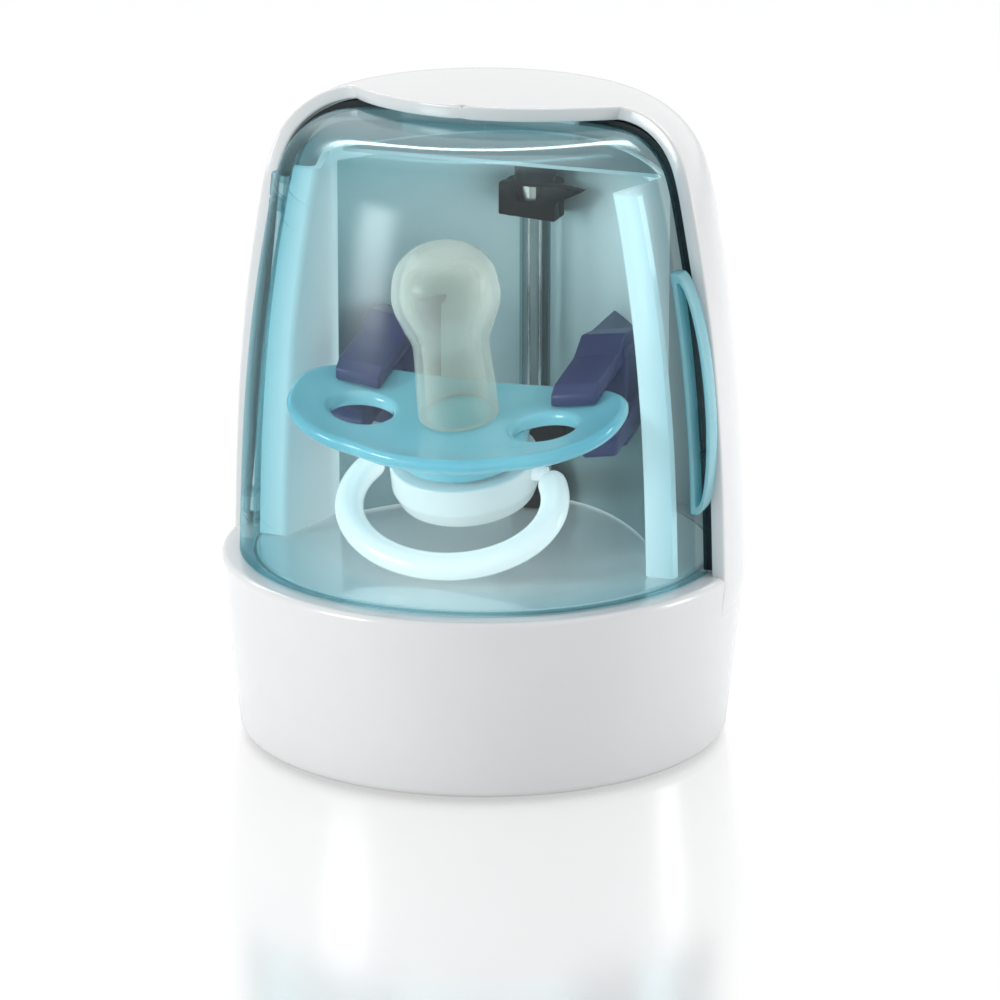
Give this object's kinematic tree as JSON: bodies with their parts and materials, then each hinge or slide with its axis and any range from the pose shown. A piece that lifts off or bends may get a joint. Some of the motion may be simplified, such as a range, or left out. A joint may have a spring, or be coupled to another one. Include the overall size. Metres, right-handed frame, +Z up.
{
  "type": "pacifier sterilizer case",
  "caption": "Dome-shaped ultraviolet steriliser: white base and hood, tinted side-hinged door, and clips that hold a pacifier before a lamp in a polished trough.",
  "frame": {"origin": "middle of the foot, on the table under the four rubber feet", "axes": "+Z up along the dome's axis, -Y towards the front of the clear door, +X towards the finger pull"},
  "size_m": [0.07, 0.07, 0.0863],
  "materials": {
    "housing_white": "fine gloss moulded plastic, almost white",
    "door_tint": "clear tinted plastic, cyan-teal, polished",
    "seal_black": "matt black",
    "liner_pale": "satin pale plastic",
    "reflector_mirror": "polished metal sheet",
    "lamp_glass": "clear quartz tube",
    "steel": "plated steel",
    "clip_navy": "satin navy blue plastic",
    "shield_blue": "slightly clear light blue plastic",
    "nipple_silicone": "translucent silicone",
    "button_white": "milky white plastic",
    "cell_wrap": "plain blue cell wrap without any mark",
    "board_green": "green circuit board",
    "part_grey": "grey sleeve",
    "foot_rubber": "grey rubber"
  },
  "bodies": {
    "case": {"housing": "housing_white", "light_seal": "seal_black", "chamber_floor": "liner_pale", "chamber_liner": "liner_pale", "reflector": "reflector_mirror", "lamp_holder_top": "seal_black", "lamp_holder_bottom": "seal_black", "uv_lamp": "lamp_glass", "lamp_cap_top": "steel", "lamp_cap_bottom": "steel", "clip_right": "clip_navy", "clip_left": "clip_navy", "hinge_pin": "steel", "bottom_plate": "housing_white", "battery_1": "cell_wrap", "battery_2": "cell_wrap", "battery_3": "cell_wrap", "contact_front": "steel", "contact_back": "steel", "control_board": "board_green", "step_up_coil": "seal_black", "capacitor": "part_grey", "timer_chip": "seal_black", "switch_body": "seal_black", "foot_1": "foot_rubber", "foot_2": "foot_rubber", "foot_3": "foot_rubber", "foot_4": "foot_rubber", "screw_1": "steel", "screw_2": "steel", "screw_3": "steel", "screw_4": "steel"},
    "door": {"door": "door_tint"},
    "switch_plunger": {"switch_plunger": "housing_white"},
    "battery_cover": {"battery_cover": "housing_white"},
    "pacifier": {"pacifier_shield": "shield_blue", "pacifier_boss": "shield_blue", "pacifier_nipple": "nipple_silicone", "pacifier_button": "button_white"},
    "pacifier_ring": {"pacifier_ring": "button_white"}
  },
  "joints": [
    {"name": "door_hinge", "type": "hinge", "parent": "case", "child": "door", "pos_m": [-0.03057, -0.005, 0.031], "axis": [-0.1041, 0, -0.9946], "range_deg": [0, 95]},
    {"name": "switch_plunger_slide", "type": "slide", "parent": "case", "child": "switch_plunger", "axis": [0, -1, 0], "range_m": [0, 0.0012]},
    {"name": "battery_cover_slide", "type": "slide", "parent": "case", "child": "battery_cover", "axis": [0, 0, -1], "range_m": [0, 0.012]},
    {"name": "pacifier_slide", "type": "slide", "parent": "case", "child": "pacifier", "axis": [0, -0.9659, -0.2588], "range_m": [0, 0.0015]},
    {"name": "ring_hinge", "type": "hinge", "parent": "pacifier", "child": "pacifier_ring", "pos_m": [0, -0.00694, 0.03763], "axis": [-1, 0, 0], "range_deg": [0, 35]}
  ],
  "couplings": [
    {"joint": "switch_plunger_slide", "follows": "door_hinge", "m_per_rad": 0.00072}
  ]
}
